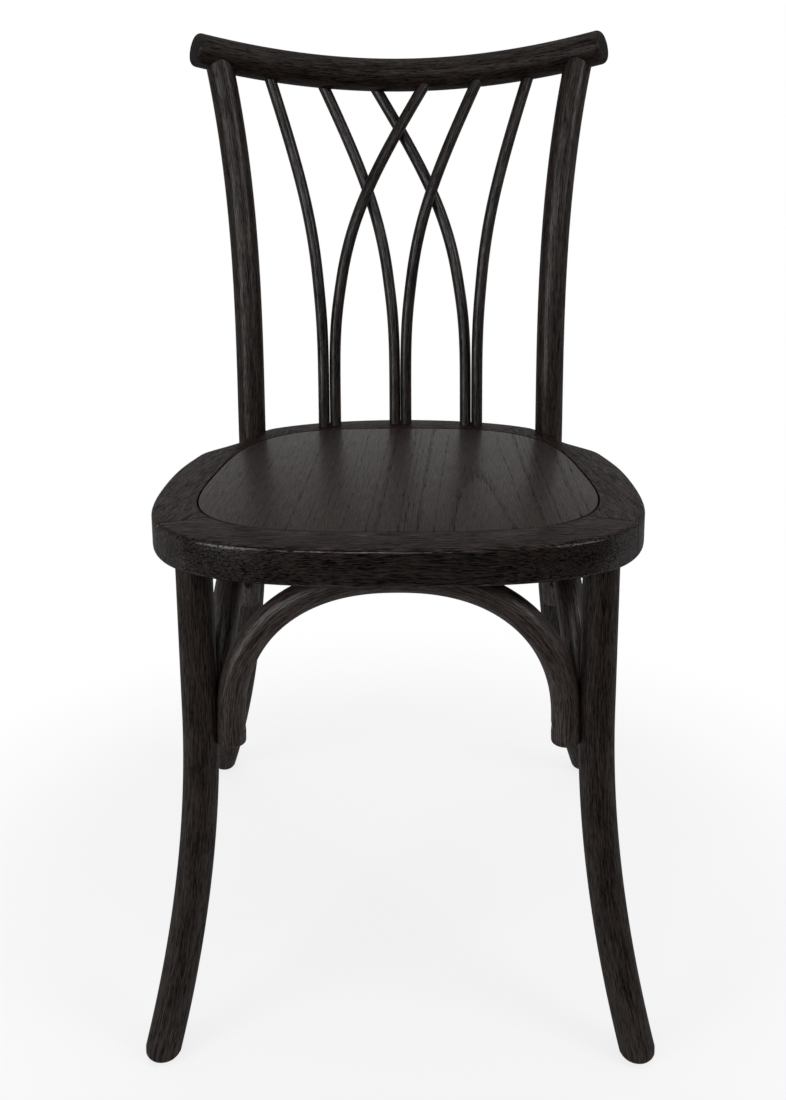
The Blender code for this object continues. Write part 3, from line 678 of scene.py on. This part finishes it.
for name, side in both_sides:
    path = lambda z: front_leg_point(z, side)
    heights = spaced(foot_floor + foot_rounding, seat_underside - joint_gap, 96)[1:]
    points, radii = footed(path, front_leg_radius, heights)
    mesh = round_bar(f"front_leg_{name}", points, radii, sides=44)
    grain_along(mesh, points, start=22.0 + side)
    set_in(f"front_leg_{name}.wood", mesh, frame_finish, f"front_leg_{name}")

# Braces: three round rods of the same wood, bent into arches between neighbouring legs, up
# against the seat. Two blackened wood screws hold each crown to the seat, and one holds each
# end to its leg.
arch_radius = 0.01225
arch_end = 0.271
arch_spring = 0.290
arch_press = 0.0004
arch_crown = seat_underside - arch_radius + arch_press
arch_end_rounding = 0.003
arch_squareness = 2.25
arch_bite = 0.0016
screw_sink = 0.0012
crown_screw_spacing = 0.044
end_screw_rise = 0.014
screw_hole = [(0.0043, -0.010), (0.0043, 0.0003), (0.0020, 0.0034), (0.0020, 0.010)]
# The braces take a paler copy of the frame's stain: painted light, where the lamps fall on them.
lit_brace_finish = black_stained_wood(
    "stained_braces_painted_light", ring=0.0034, pith=(0.015, 0.022), tilt=0.020,
    dark=(0.0024, 0.0016, 0.0013), light=(0.0360, 0.0250, 0.0216),
    figure=0.12, contrast=1.2, lacquer=0.078, gloss=3.0, satin=0.42,
)
steel_finish = new_finish("blackened_steel")
where = steel_finish.node("ShaderNodeTexCoord", {}, {}, "Object")
plating = steel_finish.noise(where, 900.0, 3.0)
scuffs = steel_finish.noise(steel_finish.stretched(where, (300.0, 4200.0, 4200.0)), 1.0, 2.0)
steel_black, steel_rubbed = (0.012, 0.0115, 0.011), (0.034, 0.032, 0.031)
steel_finish.surface(
    Base_Color=steel_finish.mix(plating.band(0.3, 0.7), steel_black, steel_rubbed),
    Metallic=1.0,
    Roughness=0.26 + plating * 0.12 + scuffs * 0.10,
    Normal=steel_finish.bump(plating * 0.4 + scuffs * 0.6, 0.00004, 0.4),
)


def arch_way(start, finish, offsets, insets, lean):
    """The arch's middle line between two legs, by share across and height."""

    def at(share, z):
        a, b = start(z), finish(z)
        along = (b - a).normalized()
        rise = (z - arch_end) / (arch_crown - arch_end)
        a = a + along * math.sqrt(offsets[0] ** 2 - insets[0] ** 2)
        b = b - along * math.sqrt(offsets[1] ** 2 - insets[1] ** 2)
        inset = insets[0] + (insets[1] - insets[0]) * share
        inward = -math.copysign(inset + lean * rise * rise, a.x)
        return a.lerp(b, share) + Vector((inward, 0, 0))

    return at


def arch_stations(steps):
    """Shares across and heights along the rounded part of an arch."""
    stations = []
    for i in range(steps + 1):
        angle = math.pi * (1 - i / steps)
        share = (1 + squared(math.cos(angle), arch_squareness)) / 2
        rise = abs(math.sin(angle)) ** (2 / arch_squareness)
        stations.append((share, arch_spring + (arch_crown - arch_spring) * rise))
    return stations


def wood_screw():
    """A countersunk screw with a cross recess and a threaded, pointed shank."""
    profile = [(0.0003, 0.0320), (0.0019, 0.0285)]
    for i in range(14):
        height = 0.0280 - i * 0.0012
        profile += [(0.0020, height), (0.00145, height - 0.0006)]
    profile += [(0.0016, 0.0108), (0.0016, 0.0042), (0.0020, 0.0030), (0.00385, 0.00035)]
    profile += [(0.0040, 0.0001), (0.0039, 0.0), (0.0020, 0.0), (0.0002, 0.0)]
    mesh = turned("wood_screw", profile[::-1], sides=32)
    corners = ((1, 1), (-1, 1), (-1, -1), (1, -1))
    slots = []
    for wide, deep in ((0.0021, 0.00045), (0.00045, 0.0021)):
        top = [Vector((x * wide, y * deep, -0.001)) for x, y in corners]
        foot = [Vector((p.x * 0.45, p.y * 0.45, 0.0022)) for p in top]
        slots.append(loft("slot", [top, foot]))
    return bored(mesh, *slots)


def brace(name, paths, leg_radii, insets, lean, lift, start):
    """One arch with its four screws in bored holes."""
    offsets = [radius + arch_radius - arch_bite for radius in leg_radii]
    at = arch_way(*paths, offsets, insets, lean)
    ends = quarter(arch_end_rounding, 6)
    points = [at(0, arch_end + drop) for inset, drop in ends]
    points += [at(0, z) for z in spaced(arch_end + arch_end_rounding, arch_spring, 5)[1:-1]]
    points += [at(share, z) for share, z in arch_stations(110)]
    points += [at(1, z) for z in spaced(arch_spring, arch_end + arch_end_rounding, 5)[1:-1]]
    points += [at(1, arch_end + drop) for inset, drop in reversed(ends)]
    eased = [arch_radius - inset for inset, drop in ends]
    radii = eased + [arch_radius] * (len(points) - 2 * len(eased)) + eased[::-1]
    mesh = round_bar(name, points, radii, sides=36)
    reach = arch_radius - screw_sink
    span = (at(1, arch_crown) - at(0, arch_crown)).length
    places = {}
    for number, sign in enumerate((-1, 1), 1):
        spot = at((1 + sign * crown_screw_spacing / span) / 2, arch_crown)
        places[f"crown_screw_{number}"] = aimed(spot - Vector((0, 0, reach)), (0, 0, 1))
    height = arch_end + end_screw_rise + lift
    for number, share in enumerate((0, 1), 1):
        away = (at(share, height) - paths[share](height)).normalized()
        places[f"end_screw_{number}"] = aimed(at(share, height) + away * reach, -away)
    sinks = []
    for place in places.values():
        sink = turned("sink", screw_hole, sides=36)
        sink.transform(place)
        sinks.append(sink)
    mesh = bored(mesh, *sinks)
    grain_along(mesh, points, start)
    set_in(f"{name}.wood", mesh, lit_brace_finish, name)
    for screw, place in places.items():
        mesh = wood_screw()
        mesh.transform(place)
        set_in(f"{name}_{screw}.steel", mesh, steel_finish, f"{name}_{screw}")


front_paths = [lambda z: front_leg_point(z, -1), lambda z: front_leg_point(z, 1)]
brace("front_arch", front_paths, (front_leg_radius, front_leg_radius),
      insets=(0.0, 0.0), lean=0.0, lift=0.0, start=26.0)
for name, side in both_sides:
    side_paths = [lambda z: front_leg_point(z, side), lambda z: back_leg_point(z, side)]
    brace(f"{name}_arch", side_paths, (front_leg_radius, back_leg_radius),
          insets=(0.011, 0.0), lean=0.012, lift=0.012, start=28.0 + side)

# Back leg bolts: two blackened steel bolts with domed heads and hexagon sockets, run through the
# back legs into the side rails, each head let a little into its leg.
bolt_profile = [(0.0002, -0.0040), (0.0028, -0.0039), (0.0046, -0.0034), (0.0059, -0.0024)]
bolt_profile += [(0.00645, -0.0011), (0.0065, -0.0003), (0.0064, 0.0), (0.0031, 0.0)]
bolt_profile += [(0.0030, 0.0003)]
for i in range(30):
    height = 0.012 + i * 0.0011
    bolt_profile += [(0.0030, height), (0.00255, height + 0.00055)]
bolt_profile += [(0.0026, 0.0455), (0.0022, 0.0460)]
bolt_socket = [(0.0023, -0.006), (0.0023, -0.0015)]
for name, side in both_sides:
    socket = turned("hexagon", bolt_socket, sides=6)
    mesh = bored(turned("bolt", bolt_profile, sides=40), socket)
    mesh.transform(bolt_place(side))
    bolt = f"back_leg_bolt_{name}"
    set_in(f"{bolt}.steel", mesh, steel_finish, bolt)

# Dowels: eight short beech pins, unstained, glued across the four joints of the seat frame.
# They are out of sight inside the rails, so their solids stay and take a bare wood finish.
dowel_finish = new_finish("bare_beech")
where = dowel_finish.node("ShaderNodeTexCoord", {}, {}, "Object")
flecks = dowel_finish.noise(where, 700.0, 3.0).band(0.45, 0.65)
tone = dowel_finish.noise(where, 60.0, 2.0)
beech = dowel_finish.mix(tone, (0.40, 0.26, 0.15), (0.52, 0.37, 0.23))
dowel_finish.surface(
    Base_Color=dowel_finish.mix(flecks * 0.5, beech, (0.28, 0.17, 0.09)),
    Roughness=0.62 + flecks * 0.1,
    Normal=dowel_finish.bump(flecks, 0.0001, 0.4),
)
for end in ("front", "back"):
    for name, side in both_sides:
        for number in (1, 2):
            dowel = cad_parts[f"seat_dowel_{end}_{name}_{number}"]
            for holder in dowel.material_slots:
                holder.material = dowel_finish.owner

# Glides: four moulded black nylon discs with rounded rims, each nailed up the middle of a foot.
# They carry the chair on the floor and keep the wood off it.
glide_finish = new_finish("black_nylon")
where = glide_finish.node("ShaderNodeTexCoord", {}, {}, "Object")
mould = glide_finish.noise(where, 2600.0, 2.0)
wear = glide_finish.noise(where, 260.0, 3.0).band(0.4, 0.7)
glide_finish.surface(
    Base_Color=glide_finish.mix(wear, (0.009, 0.009, 0.009), (0.024, 0.023, 0.022)),
    Roughness=0.42 + wear * 0.2,
    Normal=glide_finish.bump(mould, 0.00006, 0.5),
)
glide_rim = [(0.0002, 0.0), (0.0068, 0.0), (0.0074, 0.00012), (0.0078, 0.00045), (0.0080, 0.0009)]
glide_rim += [(0.0080, 0.0019), (0.0078, 0.0023), (0.0074, 0.0025), (0.0012, 0.0025)]
glide_rim += [(0.0012, 0.0150), (0.0002, 0.0165)]
for name, side in both_sides:
    for end, path in (("front", front_leg_point), ("back", back_leg_point)):
        base = path(foot_floor + foot_rounding, side)
        mesh = turned("glide", glide_rim, sides=40)
        mesh.transform(Matrix.Translation((base.x, base.y, 0)))
        glide = f"glide_{end}_{name}"
        set_in(f"{glide}.nylon", mesh, glide_finish, glide)

# Studio: a white paper floor that keeps a soft shadow and throws little light up ahead of the
# chair, white surroundings behind, tall soft lamps to either side, a wide one ahead and one
# overhead. The camera stands at the chair's front, a little to the right of its middle.
floor_radius = 9.0
floor_sides = 96
floor_finish = new_finish("white_floor")
where = floor_finish.node("ShaderNodeTexCoord", {}, {}, "Object")
ahead = floor_finish.node("ShaderNodeSeparateXYZ", {}, [where]).other("Y").band(-0.24, -0.55)
paper = floor_finish.mix(ahead, (0.62, 0.62, 0.62), (0.12, 0.12, 0.12))
floor_finish.surface(Base_Color=paper, Roughness=0.6, Specular_IOR_Level=0.1)
rays = floor_finish.node("ShaderNodeLightPath", {}, {}, "Is Camera Ray")
seen = rays.math("MAXIMUM", rays.other("Is Glossy Ray") * (1 - ahead))
seen = seen.math("MAXIMUM", rays.other("Is Transmission Ray"))
away = floor_finish.node("ShaderNodeVectorMath", {"operation": "LENGTH"}, [where], 1)
far = away.band(0.32, 0.70)
glow = floor_finish.node("ShaderNodeEmission", {}, {"Color": (1.0, 1.0, 1.0), "Strength": 1.0})
ground = Value(floor_finish, floor_finish.shader.outputs[0])
shown = floor_finish.node("ShaderNodeMixShader", {}, [seen * (far * 0.22 + 0.78), ground, glow])
floor_finish.put(floor_finish.tree.nodes["Material Output"].inputs["Surface"], shown)
floor_mesh = bpy.data.meshes.new("floor")
turns = [2 * math.pi * i / floor_sides for i in range(floor_sides)]
floor_rim = [(floor_radius * math.cos(a), floor_radius * math.sin(a), 0.0) for a in turns]
floor_mesh.from_pydata(floor_rim, [], [tuple(range(floor_sides))])
floor_mesh.materials.append(floor_finish.owner)
floor = bpy.data.objects.new("floor", floor_mesh)
bpy.context.scene.collection.objects.link(floor)

surroundings = Finish(bpy.data.worlds.new("studio"))
bpy.context.scene.world = surroundings.owner
surroundings.tree.nodes.clear()
rays = surroundings.node("ShaderNodeLightPath", {}, {}, "Is Camera Ray")
clear = rays.math("MAXIMUM", rays.other("Is Transmission Ray"))
seen = clear.math("MAXIMUM", rays.other("Is Glossy Ray"))
way = surroundings.node("ShaderNodeTexCoord", {}, {}, "Generated")
behind = surroundings.node("ShaderNodeSeparateXYZ", {}, [way]).other("Y").band(-0.5, 0.5)
room = surroundings.mix(behind, (0.12, 0.12, 0.12), (1.0, 1.0, 1.0))
backdrop = surroundings.mix(clear, room, (1.0, 1.0, 1.0))
white = surroundings.node("ShaderNodeBackground", {}, {"Color": backdrop, "Strength": 1.0})
soft = surroundings.node("ShaderNodeBackground", {}, {"Color": (1.0, 1.0, 1.0), "Strength": 0.40})
sky = surroundings.node("ShaderNodeMixShader", {}, [seen, soft, white])
exit_node = surroundings.tree.nodes.new("ShaderNodeOutputWorld")
surroundings.put(exit_node.inputs["Surface"], sky)


def soft_lamp(name, spot, aim, wide, high, power):
    """A rectangular lamp that hangs at spot and faces aim, its power in watts."""
    lamp = bpy.data.lights.new(name, "AREA")
    lamp.shape, lamp.size, lamp.size_y, lamp.energy = "RECTANGLE", wide, high, power
    holder = bpy.data.objects.new(name, lamp)
    holder.location = spot
    holder.rotation_euler = (Vector(aim) - Vector(spot)).to_track_quat("-Z", "Y").to_euler()
    bpy.context.scene.collection.objects.link(holder)


soft_lamp("lamp_left", (-1.60, -1.55, 0.90), (0, 0, 0.45), wide=1.0, high=1.5, power=32.0)
soft_lamp("lamp_right", (1.70, -1.20, 1.70), (0, 0, 0.75), wide=1.0, high=1.4, power=26.0)
soft_lamp("lamp_ahead", (-0.30, -2.30, 1.40), (0, 0, 0.70), wide=1.3, high=0.7, power=16.0)
soft_lamp("lamp_over", (0, 0.1, 2.5), (0, 0, 0.4), wide=2.0, high=1.6, power=18.0)

lens = bpy.data.cameras.new("camera")
lens.sensor_width = 36.0
lens.lens = 38.72
lens.shift_x, lens.shift_y = -0.0050, -0.1476
camera = bpy.data.objects.new("camera", lens)
camera.location = (0.0116, seat_middle.y - 1.0637, 0.7669)
camera_yaw = Matrix.Rotation(math.radians(0.618), 3, "Z")
camera_pitch = Matrix.Rotation(math.radians(78.0), 3, "X")
camera_roll = Matrix.Rotation(math.radians(-0.345), 3, "Z")
camera.rotation_euler = (camera_yaw @ camera_pitch @ camera_roll).to_euler()
bpy.context.scene.collection.objects.link(camera)
bpy.context.scene.camera = camera
bpy.context.scene.view_settings.view_transform = "Standard"
